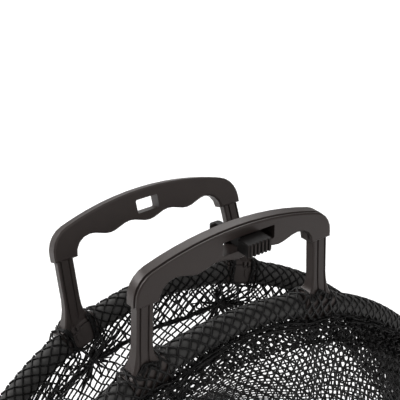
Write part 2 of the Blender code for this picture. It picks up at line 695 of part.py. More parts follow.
def latch_slider(carrier):
    """Thumb pad with upright ribs, on a carriage that runs in the front bow's window."""
    low = STEP_HEIGHT + WINDOW_LOW + GAP
    high = STEP_HEIGHT + WINDOW_HIGH - GAP
    face = -FRONT_BOW_SETBACK - FRONT_BOW_DEPTH
    back = face - GAP
    front = back - PAD_REACH
    right = PAD_LEFT + PAD_WIDTH
    outline = [(right, front + RIB_DEPTH), (right, back), (PAD_LEFT, back), (PAD_LEFT, front + RIB_DEPTH)]
    first = PAD_LEFT + (PAD_WIDTH - RIB_COUNT * RIB_PITCH) / 2
    for rib in range(RIB_COUNT):
        root = first + (rib + RIB_GAP) * RIB_PITCH
        crest = root + RIB_FLANK * RIB_PITCH
        outline += [(root, front + RIB_DEPTH), (crest, front)]
        root = first + (rib + 1 - RIB_GAP) * RIB_PITCH
        crest = root - RIB_FLANK * RIB_PITCH
        outline += [(crest, front), (root, front + RIB_DEPTH)]
    levels = [(low, PAD_EDGE), (low + PAD_EDGE, 0), (high - 2 * PAD_EDGE, 0), (high, PAD_EDGE)]
    rings = [[(x, y, z) for x, y in inset(outline, depth)] for z, depth in levels]
    slider = piece("latch_slider", loft(rings), carrier, MOULDED)
    left = PAD_LEFT + CARRIAGE_INSET
    end = right - CARRIAGE_INSET
    sunk = back - CARRIAGE_SUNK
    block = [(left, sunk), (end, sunk), (end, -FRONT_BOW_SETBACK), (left, -FRONT_BOW_SETBACK)]
    heights = (low + PAD_EDGE / 2, high - 1.5 * PAD_EDGE)
    rings = [[(x, y, z) for x, y in block] for z in heights]
    carriage = piece("latch_carriage", loft(rings), carrier, MOULDED)
    boolean(slider, [carriage], "UNION")
    return slider


def latch_hook(carrier):
    """Plate behind the front bow, with the hook that enters the rear bow's slot."""
    left = PAD_LEFT + CARRIAGE_INSET
    plate_front = -FRONT_BOW_SETBACK + GAP
    plate_back = plate_front + PLATE_THICK
    low = STEP_HEIGHT + WINDOW_LOW - PLATE_LAP
    high = STEP_HEIGHT + WINDOW_HIGH + PLATE_LAP
    plate_outline = rounded_box(left - PLATE_LAP, WINDOW_RIGHT + PLATE_LAP, low, high, SLOT_CORNER)
    rings = [[(x, y, z) for x, z in plate_outline] for y in (plate_front, plate_back)]
    plate = piece("latch_hook", loft(rings), carrier, MOULDED)
    lip = HOOK_REACH + LIP_THICK
    right = left + NECK_WIDTH
    tip = left - LIP_REACH
    root = plate_front + PLATE_THICK / 2
    profile = [(left, root), (right, root), (right, lip - LIP_CHAMFER), (right - LIP_CHAMFER, lip)]
    profile += [(tip + LIP_CHAMFER, lip), (tip, lip - LIP_CHAMFER), (tip, HOOK_REACH), (left, HOOK_REACH)]
    heights = (STEP_HEIGHT + WINDOW_LOW + HOOK_PLAY, STEP_HEIGHT + WINDOW_HIGH - HOOK_PLAY)
    hook = piece("hook_arm", loft([[(x, y, z) for x, y in profile] for z in heights]), carrier, MOULDED)
    boolean(plate, [hook], "UNION")
    return plate


def bag():
    """Four hoops, each on its own slide, and the netting between them."""
    base = empty("base_ring", (0, 0, BASE_Z))
    lower = empty("lower_ring", (0, 0, LOWER_Z))
    upper = empty("upper_ring", (0, 0, UPPER_Z))
    mouth = empty("mouth_ring", (0, 0, MOUTH_Z))
    hoop("base_hoop", BASE_WIRE, BASE_SIDES, base)
    hoop("lower_hoop", HOOP_WIRE, HOOP_SIDES, lower)
    hoop("upper_hoop", HOOP_WIRE, HOOP_SIDES, upper)
    hoop("mouth_hoop", HOOP_WIRE, HOOP_SIDES, mouth)
    base_panel(base)
    side_panel("lower_net", BASE_WIRE, HOOP_WIRE, base)
    side_panel("middle_net", HOOP_WIRE, HOOP_WIRE, lower)
    return side_panel("upper_net", HOOP_WIRE, HOOP_WIRE, upper)


def notch_cutters(carrier):
    """Notches that let the hinge straps pass through the top of the upper netting."""
    cutters = []
    half = EYE_RADIUS + GAP
    for word, x in (("left", -RIM_RADIUS), ("right", RIM_RADIUS)):
        outline = rounded_box(x - LOOP_REACH, x + LOOP_REACH, -half, half, SLOT_CORNER)
        heights = (-HINGE_RISE - LOOP_REACH, 0)
        shape = loft([[(across, y, z) for across, y in outline] for z in heights])
        cutters.append(piece(word + "_notch", shape, carrier, NETTING))
    return cutters


def mouth(upper_net):
    """Hinges, rims, handles, latch and the two flaps of netting."""
    hinge = empty("hinge_axis", (0, 0, HINGE_Z))
    front_axis = empty("front_rim_axis", (0, 0, HINGE_Z))
    rear_axis = empty("rear_rim_axis", (0, 0, HINGE_Z), -REAR_LEAN)
    cutters = []
    for word, x in (("left", -RIM_RADIUS), ("right", RIM_RADIUS)):
        cutter = pin_cutter(word + "_pin_bore", x, hinge)
        bracket("hinge_bracket_" + word, x, hinge, cutter)
        rivet("hinge_pin_" + word, x, hinge)
        cutters.append(cutter)
    boolean(upper_net, notch_cutters(hinge), "DIFFERENCE")
    rims = (("front", FRONT, 0.0, front_axis), ("rear", REAR, -REAR_LEAN, rear_axis))
    for prefix, side, lean, axis in rims:
        flap(prefix + "_net", side, lean, hinge)
        rod(prefix + "_rod", side, axis, cutters)
        floats(prefix, side, axis)
        handle(prefix + "_handle", side, axis)
        for word, hand in (("left", -1), ("right", 1)):
            clamp_cap(f"{prefix}_clamp_cap_{word}", side, hand, axis)
    slide = empty("latch_slide", (0, 0, 0))
    slide.parent = front_axis
    latch_slider(slide)
    latch_hook(slide)


mouth(bag())
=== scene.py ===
import json
import math

import bpy
import numpy as np
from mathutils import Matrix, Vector


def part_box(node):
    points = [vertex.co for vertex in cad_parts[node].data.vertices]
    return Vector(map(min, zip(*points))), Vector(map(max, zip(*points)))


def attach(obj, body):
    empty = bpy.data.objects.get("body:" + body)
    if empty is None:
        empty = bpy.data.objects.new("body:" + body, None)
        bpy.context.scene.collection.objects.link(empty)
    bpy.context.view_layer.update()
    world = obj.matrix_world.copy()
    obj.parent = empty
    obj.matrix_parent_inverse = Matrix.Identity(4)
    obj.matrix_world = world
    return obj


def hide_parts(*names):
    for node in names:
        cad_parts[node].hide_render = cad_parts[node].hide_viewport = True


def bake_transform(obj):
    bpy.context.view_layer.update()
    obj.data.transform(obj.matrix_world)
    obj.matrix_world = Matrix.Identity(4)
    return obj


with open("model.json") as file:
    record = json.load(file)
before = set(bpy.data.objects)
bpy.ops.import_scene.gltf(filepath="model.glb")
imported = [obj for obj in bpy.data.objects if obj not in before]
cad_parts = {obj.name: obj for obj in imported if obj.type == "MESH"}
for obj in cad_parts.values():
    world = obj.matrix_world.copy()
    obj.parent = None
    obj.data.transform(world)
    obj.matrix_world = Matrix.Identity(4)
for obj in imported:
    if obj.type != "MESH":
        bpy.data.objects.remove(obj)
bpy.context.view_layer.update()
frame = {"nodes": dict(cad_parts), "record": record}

nodes = frame["nodes"]
MM = 0.001


# Hoops. Four rings of spring wire in a black plastic coat hold the bag round. Each is bent to a circle,
# butt-welded and dipped, so the coat is smooth and a little uneven.

HOOP_RADIUS = 170 * MM
HOOP_WIRE = {"base": 3 * MM, "lower": 2.5 * MM, "upper": 2.5 * MM, "mouth": 2.5 * MM}  # radius, coat included
HOOP_HEIGHT = {hoop: sum(corner[2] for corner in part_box(hoop + "_hoop")) / 2 for hoop in HOOP_WIRE}


class Socket:
    """A value in a material. Arithmetic on it adds the Math nodes that work it out."""

    def __init__(self, finish, link):
        self.finish = finish
        self.link = link

    def __add__(self, other):
        return self.finish.math("ADD", self, other)

    def __sub__(self, other):
        return self.finish.math("SUBTRACT", self, other)

    def __rsub__(self, other):
        return self.finish.math("SUBTRACT", other, self)

    def __mul__(self, other):
        return self.finish.math("MULTIPLY", self, other)

    def __pow__(self, other):
        return self.finish.math("POWER", self, other)

    __radd__ = __add__
    __rmul__ = __mul__


class Finish:
    """One material: its nodes and the shader that they feed."""

    def __init__(self, name):
        self.material = bpy.data.materials.new(name)
        self.material.use_nodes = True
        self.tree = self.material.node_tree
        self.shader = self.tree.nodes["Principled BSDF"]

    def connect(self, socket, value):
        """Set a socket, or link it where the value is worked out by nodes."""
        if isinstance(value, Socket):
            self.tree.links.new(value.link, socket)
        else:
            socket.default_value = value

    def node(self, kind, settings=None, inputs=None, output=0):
        """Add a node: its settings first, then the values or links of its sockets."""
        added = self.tree.nodes.new("ShaderNode" + kind)
        for name, value in (settings or {}).items():
            if name == "stops":
                for stop, (place, colour) in zip(added.color_ramp.elements, value):
                    stop.position = place
                    stop.color = (*colour, 1)
            else:
                setattr(added, name, value)
        for name, value in (inputs or {}).items():
            self.connect(added.inputs[name], value)
        return Socket(self, added.outputs[output])

    def math(self, operation, first, second):
        return self.node("Math", {"operation": operation}, {0: first, 1: second})

    def mix(self, share, first, second):
        """Mix two colours. The Mix node's colour sockets are its seventh and eighth."""
        colours = {6: first if isinstance(first, Socket) else (*first, 1)}
        colours[7] = second if isinstance(second, Socket) else (*second, 1)
        return self.node("Mix", {"data_type": "RGBA"}, {0: share, **colours}, output=2)

    def grain(self, size, detail=2.0):
        """Cloudy pattern whose features are about this size."""
        place = self.node("TexCoord", output="Object")
        return self.node("TexNoise", {}, {"Vector": place, "Scale": 1 / size, "Detail": detail})

    def relief(self, height, depth, below=None):
        """Surface relief of this depth, over another relief if one is given."""
        inputs = {"Height": height, "Distance": depth}
        if below is not None:
            inputs["Normal"] = below
        return self.node("Bump", {}, inputs)

    def coat(self, **inputs):
        """Feed the shader, and give the material back."""
        for name, value in inputs.items():
            socket = name.replace("_", " ").title().replace("Ior", "IOR")
            self.connect(self.shader.inputs[socket], value)
        return self.material


def black_coat():
    """Dipped plastic: near black, cloudy in its gloss."""
    finish = Finish("black_coat")
    cloud = finish.grain(6 * MM)
    tone = finish.mix(cloud, (0.012, 0.012, 0.012), (0.024, 0.023, 0.022))
    return finish.coat(
        base_color=tone,
        roughness=0.3 + 0.2 * cloud,
        normal=finish.relief(finish.grain(1.5 * MM), 0.05 * MM),
    )


coated = black_coat()
for hoop in HOOP_WIRE:
    nodes[hoop + "_hoop"].data.materials[0] = coated


# Base netting. A round of black knotless netting closes the bag's bottom. Knotless netting is plaited
# from continuous twines that zigzag and join each neighbour in turn, so its open cells are diamonds.

TWINE = 0.95 * MM
TWINE_CORNER = 0.57  # from a three-sided tube's middle to its corners, as a share of its twine
CELL = 3.15 * MM  # half a cell, across and along
TOUCH = 0.14  # how near neighbours come where they join, as a share of half a cell
CELL_STEP = 0.05  # in columns or rows, for finding which way the netting faces
BASE_EDGE = HOOP_RADIUS - 3.2 * MM
BASE_SAG = 1.2 * MM  # height over the ground, in the middle
BASE_RUCK = 0.5 * MM


def black_twine():
    """Plaited nylon: near black, with a slight sheen on its fibres and painted pale glints in specks."""
    finish = Finish("black_twine")
    fibre = finish.grain(0.9 * MM, 3.0)
    tone = finish.mix(fibre, (0.002, 0.002, 0.002), (0.012, 0.011, 0.011))
    specks = finish.grain(1.6 * MM)
    # Painted highlight: pale specks mixed into the colour stand in for glints of light on the twines.
    painted_glints = finish.node("ValToRGB", {"stops": ((0.62, (0, 0, 0)), (0.70, (1, 1, 1)))}, {"Fac": specks})
    tone = finish.mix(painted_glints, tone, (0.07, 0.068, 0.066))
    return finish.coat(base_color=tone, roughness=0.34 + 0.3 * fibre, specular_ior_level=0.2)


def one_long(vectors):
    """The vectors at a length of one."""
    return vectors / np.maximum(np.linalg.norm(vectors, axis=-1, keepdims=True), 1e-12)


def twines(lines, outs, thick, keep=None):
    """Three-sided tubes along rows of points. outs point off the net, and keep says which stretches exist."""
    along = one_long(np.gradient(lines, axis=1))
    out = one_long(outs - (outs * along).sum(-1, keepdims=True) * along)
    across = np.cross(along, out)
    turns = np.radians((90, 210, 330))[:, None]
    ring = across[:, :, None] * np.cos(turns) + out[:, :, None] * np.sin(turns)
    points = lines[:, :, None] + TWINE_CORNER * thick * ring
    here = np.arange(points.size // 3).reshape(points.shape[:3])
    beside = np.roll(here, -1, axis=2)
    faces = np.stack((here[:, :-1], here[:, 1:], beside[:, 1:], beside[:, :-1]), axis=-1)
    if keep is not None:
        faces = faces[keep]
    used, faces = np.unique(faces, return_inverse=True)
    return points.reshape(-1, 3)[used], faces.reshape(-1, 4)


def gathered(parts):
    """Several sets of points and faces as one."""
    starts = np.cumsum([0] + [len(points) for points, faces in parts])
    moved = [faces + start for (points, faces), start in zip(parts, starts)]
    return np.concatenate([points for points, faces in parts]), np.concatenate(moved)


def made(name, shape, finish):
    """Smooth piece from points and four-cornered faces."""
    points, faces = shape
    mesh = bpy.data.meshes.new(name)
    mesh.vertices.add(len(points))
    mesh.vertices.foreach_set("co", points.astype(np.float32).ravel())
    mesh.loops.add(faces.size)
    mesh.loops.foreach_set("vertex_index", faces.astype(np.int32).ravel())
    mesh.polygons.add(len(faces))
    mesh.polygons.foreach_set("loop_start", np.arange(0, faces.size, 4, dtype=np.int32))
    mesh.update(calc_edges=True)
    mesh.shade_smooth()
    mesh.materials.append(finish)
    piece = bpy.data.objects.new(name, mesh)
    bpy.context.scene.collection.objects.link(piece)
    return piece


def zigzag(strands, rows, hold=0.0):
    """Columns and rows along knotless twines. hold keeps neighbours joined for a stretch.

    A slow drift of the twines keeps the cells from being all alike."""
    strand = np.asarray(strands)[:, None]
    row = np.asarray(rows)[None, :]
    column = strand + np.where((strand + row) % 2, TOUCH - 0.5, 0.5 - TOUCH)
    row = np.broadcast_to(row, column.shape).astype(float)
    if hold:
        column = np.repeat(column, 2, axis=1)
        row = np.stack((row - hold, row + hold), axis=-1).reshape(len(row), -1)
    drift = 0.045 * np.sin(1.9 * column + 0.7 * row) + 0.04 * np.sin(0.83 * row - 1.3 * column)
    return column + drift, row + 0.8 * drift


def net(place, column, row, keep=None, thick=TWINE):
    """Twines of netting that lies on a surface, given as a function of column and row."""
    over = place(column + CELL_STEP, row) - place(column - CELL_STEP, row)
    climb = place(column, row + CELL_STEP) - place(column, row - CELL_STEP)
    return twines(place(column, row), np.cross(over, climb), thick, keep)


def base_netting():
    """Round of netting that sags to the ground and climbs to the base hoop at its edge."""
    half = int(BASE_EDGE / CELL) + 2
    column, row = zigzag(range(-half, half + 1), range(-half, half + 1))

    def place(column, row):
        x = column * CELL
        y = row * CELL
        sag = BASE_SAG + BASE_RUCK * np.sin(35 * x + 1) * np.sin(28 * y)
        height = sag + (HOOP_HEIGHT["base"] - sag) * np.clip(np.hypot(x, y) / BASE_EDGE, 0, 1) ** 8
        return np.stack((x, y, height), axis=-1)

    inside = np.hypot(column, row) * CELL < BASE_EDGE
    shape = net(place, column, row, inside[:, :-1] & inside[:, 1:])
    return made("base_netting", shape, twine_finish)


twine_finish = black_twine()
floor_net = base_netting()
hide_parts("base_net")
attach(floor_net, "base")


# Side netting. Three bands of the same netting run from hoop to hoop. Folded down, each band hangs out
# in two slack folds. A helping of twine whips every edge to its hoop.

BAND_COLUMNS = 340
BAND_ROWS = 27
BAND_OFF = 3.6 * MM  # from the hoop's middle circle, where a band is sewn on
FOLD_DEPTH = 17 * MM
FOLD_DROP = 3 * MM
STRAP_HALF = 8.5 * MM  # half of the room for a hinge strap
STRAP_DROP = 5.5 * MM
WHIPPING_TURNS = 132
WHIPPING_STEPS = 10  # to a turn
WHIPPING_OFF = 0.75 * MM  # over the coat, as it goes over the band's edge too


def band_path(angle, low, high, steps=120):
    """Radius, height and length along a band's two folds, at one angle round the hoops."""
    share = np.linspace(0, 1, steps)
    swell = 1 + 0.14 * math.sin(5 * angle + 40 * low) + 0.09 * math.sin(13 * angle + 90 * low)
    lean = 0.16 * math.sin(3 * angle + 70 * low)
    fold = np.sin(2 * np.pi * (share + lean * share * (1 - share))) ** 2
    radius = HOOP_RADIUS + BAND_OFF + FOLD_DEPTH * swell * fold
    height = low + (high - low) * share - FOLD_DROP * fold
    run = np.concatenate(([0], np.cumsum(np.hypot(np.diff(radius), np.diff(height)))))
    return radius, height, run


def side_band(name, low, high, straps):
    """One band of netting. straps leaves room for the hinge straps at its top edge."""
    fine = 8  # steps of the table to a row
    table = []
    for number in range(BAND_COLUMNS):
        radius, height, run = band_path(2 * math.pi * number / BAND_COLUMNS, low, high)
        even = np.linspace(0, run[-1], fine * BAND_ROWS + 1)
        table.append(np.stack((np.interp(even, run, radius), np.interp(even, run, height)), axis=-1))
    table = np.array(table)

    def profile(number, level):
        """Radius and height at a level of one of the table's columns."""
        step = np.minimum(level.astype(int), fine * BAND_ROWS - 1)
        spot = table[number % BAND_COLUMNS, step]
        return spot + (table[number % BAND_COLUMNS, step + 1] - spot) * (level - step)[..., None]

    def place(column, row):
        number = np.floor(column).astype(int)
        level = np.clip(row, 0, BAND_ROWS) * fine
        left = profile(number, level)
        right = profile(number + 1, level)
        radius, height = np.moveaxis(left + (right - left) * (column - number)[..., None], -1, 0)
        angle = 2 * np.pi * column / BAND_COLUMNS
        return np.stack((radius * np.cos(angle), radius * np.sin(angle), height), axis=-1)

    column, row = zigzag(range(BAND_COLUMNS), range(BAND_ROWS + 1))
    clear = np.ones(column.shape, bool)
    if straps:
        spots = place(column, row)
        clear = (np.abs(spots[..., 1]) > STRAP_HALF) | (spots[..., 2] < high - STRAP_DROP)
    return made(name, net(place, column, row, clear[:, :-1] & clear[:, 1:]), twine_finish)


def whipping(name, hoop, gaps=()):
    """Twine wound round a hoop, over the edges of the netting. gaps are angles that it skips."""
    angle = np.linspace(0, 2 * np.pi, WHIPPING_TURNS * WHIPPING_STEPS + 1)
    wind = angle * WHIPPING_TURNS
    reach = HOOP_WIRE[hoop] + WHIPPING_OFF + 0.2 * MM * np.sin(7 * wind)
    flat = np.stack((np.cos(angle), np.sin(angle), 0 * angle), axis=-1)
    off = flat * np.cos(wind)[:, None] + np.array((0, 0, 1)) * np.sin(wind)[:, None]
    lines = flat * HOOP_RADIUS + np.array((0, 0, HOOP_HEIGHT[hoop])) + off * reach[:, None]
    lines[:, 2] = np.maximum(lines[:, 2], 0.55 * TWINE)  # the base hoop stands on it, pressed flat
    clear = np.ones(len(angle), bool)
    for gap in gaps:
        clear &= np.abs((angle - gap + np.pi) % (2 * np.pi) - np.pi) * HOOP_RADIUS > STRAP_HALF
    shape = twines(lines[None], off[None], TWINE, (clear[:-1] & clear[1:])[None])
    return made(name, shape, twine_finish)


hoops = list(HOOP_WIRE)
for low, high, stand_in in zip(hoops, hoops[1:], ("lower_net", "middle_net", "upper_net")):
    band = side_band(stand_in + "ting", HOOP_HEIGHT[low], HOOP_HEIGHT[high], high == "mouth")
    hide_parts(stand_in)
    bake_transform(band)
    # Flat, it is as wide as a circle of 178 mm radius is round, and as long as both folds.
    low + "_hoop"
    high + "_hoop"
for hoop in hoops:
    wound = whipping(hoop + "_whipping", hoop, (0, math.pi) if hoop == "mouth" else ())
    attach(wound, hoop)


# Hinges and rods. A steel strap folded round the mouth hoop stands up as an ear on each side. The rods'
# flattened ends lie against it, and one rivet goes through all of them.

def bright_steel():
    """Drawn steel wire and strip: fine lines of drawing and faint stains."""
    finish = Finish("bright_steel")
    stain = finish.grain(7 * MM)
    line = finish.grain(0.4 * MM, 3.0)
    tone = finish.mix(stain, (0.42, 0.42, 0.43), (0.30, 0.30, 0.31))
    return finish.coat(
        base_color=tone,
        metallic=1.0,
        roughness=0.28 + 0.18 * stain,
        normal=finish.relief(line, 0.02 * MM),
    )


steel = bright_steel()
steel_pieces = ["front_rod", "rear_rod"]
steel_pieces += [f"hinge_{kind}_{hand}" for kind in ("bracket", "pin") for hand in ("left", "right")]
for name in steel_pieces:
    nodes[name].data.materials[0] = steel


# Foam floats. Closed-cell foam tube is threaded on each rod: a long piece to either side of the handle's
# feet and a short one between them. The netting drawn tight over it presses it into little cushions.

SIDES = {"front": -1, "rear": 1}
LEANS = {"front": 0.0, "rear": math.radians(-17.7)}
JOINTS = {joint["name"]: joint for joint in frame["record"]["behaviour"]["joints"]}
HINGE_HEIGHT = JOINTS["front_rim_swing"]["pos_m"][2]
RIM_OFFSET = 7 * MM  # from the closing plane to a rod's centre
RIM_COLUMN = 3.15 * MM  # the mouth netting's half cell, along the rim
RIM_ROW = 3.2 * MM  # and over it
FOAM_RADIUS = 6.35 * MM
FOAM_BORE = 2.9 * MM  # radius
FOAM_END = math.radians(84.4) * HOOP_RADIUS  # along the rod from the rim's top
FOAM_DENT = 0.45 * MM  # under a twine
FOAM_EASE = 0.5 * MM  # the cut ends' rounding
FOAM_LUMP = 0.12 * MM
FOAM_SIDES = 45
FOAM_STEPS = 3  # to a column of the netting
NET_RADIUS = 6.55 * MM
FOOT_PLACE = math.radians(17.87) * HOOP_RADIUS  # along the rod from the rim's top
FOOT_HALF = 10.3 * MM  # half of the gap in the foam
FOOT_CLEAR = 6.8 * MM  # how far from a foot's middle it pushes the netting
FOOT_SPREAD = 24 * MM  # how far it still moves the netting
SLIT = 3.4 * MM  # half of the slit in the netting that a handle's foot comes through
PUSH_END = math.radians(58)  # round the rod, outward from its top
PUSH_FADE = math.radians(26)
PUSH_INSIDE = 26 * MM  # run inside the rim, by which the push has died away
PUSH_INSIDE_RAMP = 11 * MM
COVER = (math.radians(-150), math.radians(66))  # round the rod, where the netting lies on the foam
COVER_FADE = 0.2


def leaned(points, rim):
    """Points about the hinge axis turned to where that rim rests, and raised to it."""
    lean = LEANS[rim]
    x, y, z = np.moveaxis(points, -1, 0)
    turned_y = y * math.cos(lean) - z * math.sin(lean)
    turned_z = y * math.sin(lean) + z * math.cos(lean)
    return np.stack((x, turned_y, turned_z + HINGE_HEIGHT), axis=-1)


def crowded(place, amount):
    """Where the netting goes that the feet push aside: places along the rod, and how strongly."""
    for foot in (-FOOT_PLACE, FOOT_PLACE):
        away = place - foot
        reach = np.clip((np.abs(away) - SLIT) / (FOOT_SPREAD - SLIT), 0, 1)
        pushed = FOOT_CLEAR + (FOOT_SPREAD - FOOT_CLEAR) * reach**1.7
        moved = foot + np.where(away < 0, -pushed, pushed)
        place = np.where(reach < 1, place + (moved - place) * amount, place)
    return place


def foot_push(turn):
    """How strongly a foot pushes the netting aside, at an angle round the rod.

    Angles round a rod start at its top and are positive outward."""
    return np.clip((PUSH_END - turn) / PUSH_FADE, 0, 1)


def cushions(place, turn):
    """Height of the foam between the twines, 0 under a twine and 1 in a cell's middle."""
    unpushed = place
    for again in range(4):
        unpushed = unpushed + place - crowded(unpushed, foot_push(turn))
    x = unpushed / RIM_COLUMN
    y = NET_RADIUS * turn / RIM_ROW
    swell = np.abs(np.sin(np.pi / 2 * (x - y - 0.5)) * np.sin(np.pi / 2 * (x + y - 0.5)))
    inner, outer = COVER
    covered = np.clip((outer - turn) / COVER_FADE, 0, 1) * np.clip((turn - inner) / COVER_FADE, 0, 1)
    return 1 + (swell - 1) * covered


def foam_tube(name, rim, start, end):
    """One foam sleeve between two places along the rod."""
    side = SIDES[rim]
    along = np.linspace(start, end, int((end - start) / RIM_COLUMN * FOAM_STEPS))
    with_ends = np.concatenate((along[:1], along[:1], along, along[-1:], along[-1:]))
    turn = np.linspace(-np.pi, np.pi, FOAM_SIDES, endpoint=False)
    place, turn = np.meshgrid(with_ends, turn, indexing="ij")
    lumps = FOAM_LUMP * np.sin(90 * place) * np.sin(2 * turn + 40 * place)
    radius = FOAM_RADIUS - FOAM_DENT * (1 - cushions(place, turn)) ** 1.5 + lumps
    radius[0] = radius[-1] = FOAM_BORE
    radius[1] -= FOAM_EASE
    radius[-2] -= FOAM_EASE
    angle = place / HOOP_RADIUS
    across = side * (RIM_OFFSET + np.sin(turn) * radius)
    reach = HOOP_RADIUS + np.cos(turn) * radius
    points = np.stack((reach * np.sin(angle), across, reach * np.cos(angle)), axis=-1)
    here = np.arange(points.size // 3).reshape(points.shape[:2])
    beside = np.roll(here, -1, axis=1)
    faces = np.stack((here[:-1], here[1:], beside[1:], beside[:-1]), axis=-1).reshape(-1, 4)
    if side > 0:
        faces = faces[:, ::-1]
    return made(name, (leaned(points, rim).reshape(-1, 3), faces), foam_finish)


def grey_foam():
    """Closed-cell foam: dark grey skin with fine open pores."""
    finish = Finish("grey_foam")
    cloud = finish.grain(5 * MM)
    pores = finish.grain(0.5 * MM, 3.0)
    tone = finish.mix(cloud, (0.045, 0.043, 0.042), (0.062, 0.060, 0.058))
    tone = finish.mix(0.25 * pores, tone, (0.02, 0.02, 0.02))
    relief = finish.relief(pores, 0.06 * MM)
    return finish.coat(base_color=tone, roughness=0.7, specular_ior_level=0.35, normal=relief)


foam_finish = grey_foam()
for rim in SIDES:
    for part, start, end in (
        ("left", -FOAM_END, -FOOT_PLACE - FOOT_HALF),
        ("centre", -FOOT_PLACE + FOOT_HALF, FOOT_PLACE - FOOT_HALF),
        ("right", FOOT_PLACE + FOOT_HALF, FOAM_END),
    ):
        tube = foam_tube(f"{rim}_foam_{part}", rim, start, end)
        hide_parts(f"{rim}_float_{part}")
        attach(tube, rim + "_rim")


# Mouth netting. A flap runs from half of the mouth hoop up to each rim. It goes over the foam and back
# down inside, and a hem of several twines closes it below, drawn together in puckers beside the feet.

FLAP_TWINE = {"front": 1.2 * MM, "rear": 1.08 * MM}
FLAP_END = math.radians(84)  # each way round the rim
FLAP_FOOT_END = math.radians(85)  # each way round the mouth hoop
FLAP_SAG = 28 * MM
HOLD_OFF = 2.9 * MM  # the flap's foot, out from the hoop's middle circle
HOLD_DROP = 19.5 * MM  # and below the hinge axis
HEM_DROP = {  # below the foam's middle, at places along the rim
    "front": ((0, 20 * MM),),
    "rear": (
        (-60 * MM, 33 * MM),
        (-40 * MM, 31 * MM),
        (-8 * MM, 28 * MM),
        (20 * MM, 29 * MM),
        (45 * MM, 24 * MM),
    ),
}
HEM_TWINES = 6
HEM_SPREAD = {"front": 2.6 * MM, "rear": 1.0 * MM}  # between the twines of a hem
HEM_FRAY = 1.6 * MM  # more spread beyond the feet
FRAY_START = 40 * MM  # along the rim each way, from where it grows to that
FRAY_RAMP = 12 * MM
HEM_LOWEST = 0.45  # share of the way down to the mouth hoop that a hem stays above
HEM_DRAW = 0.5  # share of the way that the net is drawn to its hem
HEM_NEAR = 6 * MM
HEM_TO_RIM = 14 * MM  # above the hem, from where the netting follows the rim alone
PUCKERS = (-40 * MM, 45 * MM)  # along the rim
PUCKER_WIDTH = 14 * MM
PUCKER_DEPTH = 13 * MM
PUCKER_DRAW = (0.76, 0.6)  # share of the way that the net is drawn to it, along the rim and over it
FOLDS = 18  # that run out from a pucker
FOLD_TWINES = 3
FOLD_LENGTH = 17  # in mm
FOLD_VARIES = 6  # by how much from fold to fold
FOLD_LESS = 2.5  # and from twine to twine of one fold
RUCK_FINE = 0.9  # how far fine and wide rucks stand off the net, in mm
RUCK_WIDE = 2.2
INNER_STRETCH = {"front": 1.0, "rear": 1.7}  # how much longer the cells hang inside the rim
INNER_START = -18 * MM  # where they start to, over the foam from its top
SLACK = {"front": 32 * MM, "rear": 0}  # length of netting that is bunched up below the foam
SLACK_RIGHT = 1.0  # how much more of it hangs at the right end
RIGHT_START = 50 * MM  # along the rim, from where it grows to that
RIGHT_RAMP = 45 * MM
SLACK_FADE = 0.95  # how far below the foam the bunching dies away, as a share of the slack
UNDERSIDE = 14 * MM  # where the netting leaves the foam's underside, over the foam from its top
TUCK_PITCH = 8.4 * MM
TUCK_SLACK = 20 * MM  # slack for each mm that a tuck stands out
TUCK_RAMP = 3 * MM  # below the foam, over which the tucks grow
PULL_OUT = 2.2  # how far a pucker stands off the net, in mm
SLIT_TOP = 5.2 * MM  # the slit's ends, as distances over the foam from its top
SLIT_FOOT = -16.6 * MM
CLIMB = 3.6 * MM  # how far the netting climbs the outer face of a leg
LEG_INSET = {"front": 0.3, "rear": 0.9}  # how much the leg's face draws in on that way
CLAMP_FACES = (7.0 * MM, 6.4 * MM)  # a clamp foot's outer and inner face, from the rod's centre
CLAMP_ENDS = (8.5 * MM, 7.3 * MM)  # its top and underside
CLAMP_CORNER = 9.5 * MM
CLAMP_REACH = 13.5 * MM  # along the rim from a foot's middle, where the netting starts to rise over it
CLAMP_RAMP = 3.3 * MM
JOIN = 0.12  # how far neighbours run on together each way, in rows
RUN_STEP = 0.5 * MM


def over_foot(turns, foot):
    """Radius of the netting round a rod: over the foam, or by the share of foot over a clamp foot."""
    flank = np.where(turns > 0, *CLAMP_FACES) / np.maximum(np.abs(np.sin(turns)), 0.1)
    crest = np.where(np.cos(turns) > 0, *CLAMP_ENDS) / np.maximum(np.abs(np.cos(turns)), 0.1)
    shoulder = np.minimum(np.minimum(flank, crest), CLAMP_CORNER)
    return NET_RADIUS + (np.maximum(shoulder, NET_RADIUS) - NET_RADIUS) * foot


def rim_frame(rim, angle):
    """A rod's centre at an angle round it, and the ways outward and upward there, as the rim rests."""
    side = SIDES[rim]
    lean = LEANS[rim]
    tilt = np.array((
        (1, 0, 0),
        (0, math.cos(lean), -math.sin(lean)),
        (0, math.sin(lean), math.cos(lean)),
    ))
    centre = np.array((HOOP_RADIUS * math.sin(angle), side * RIM_OFFSET, HOOP_RADIUS * math.cos(angle)))
    upward = np.array((math.sin(angle), 0.0, math.cos(angle)))
    return tilt @ centre, tilt @ np.array((0.0, side, 0.0)), tilt @ upward


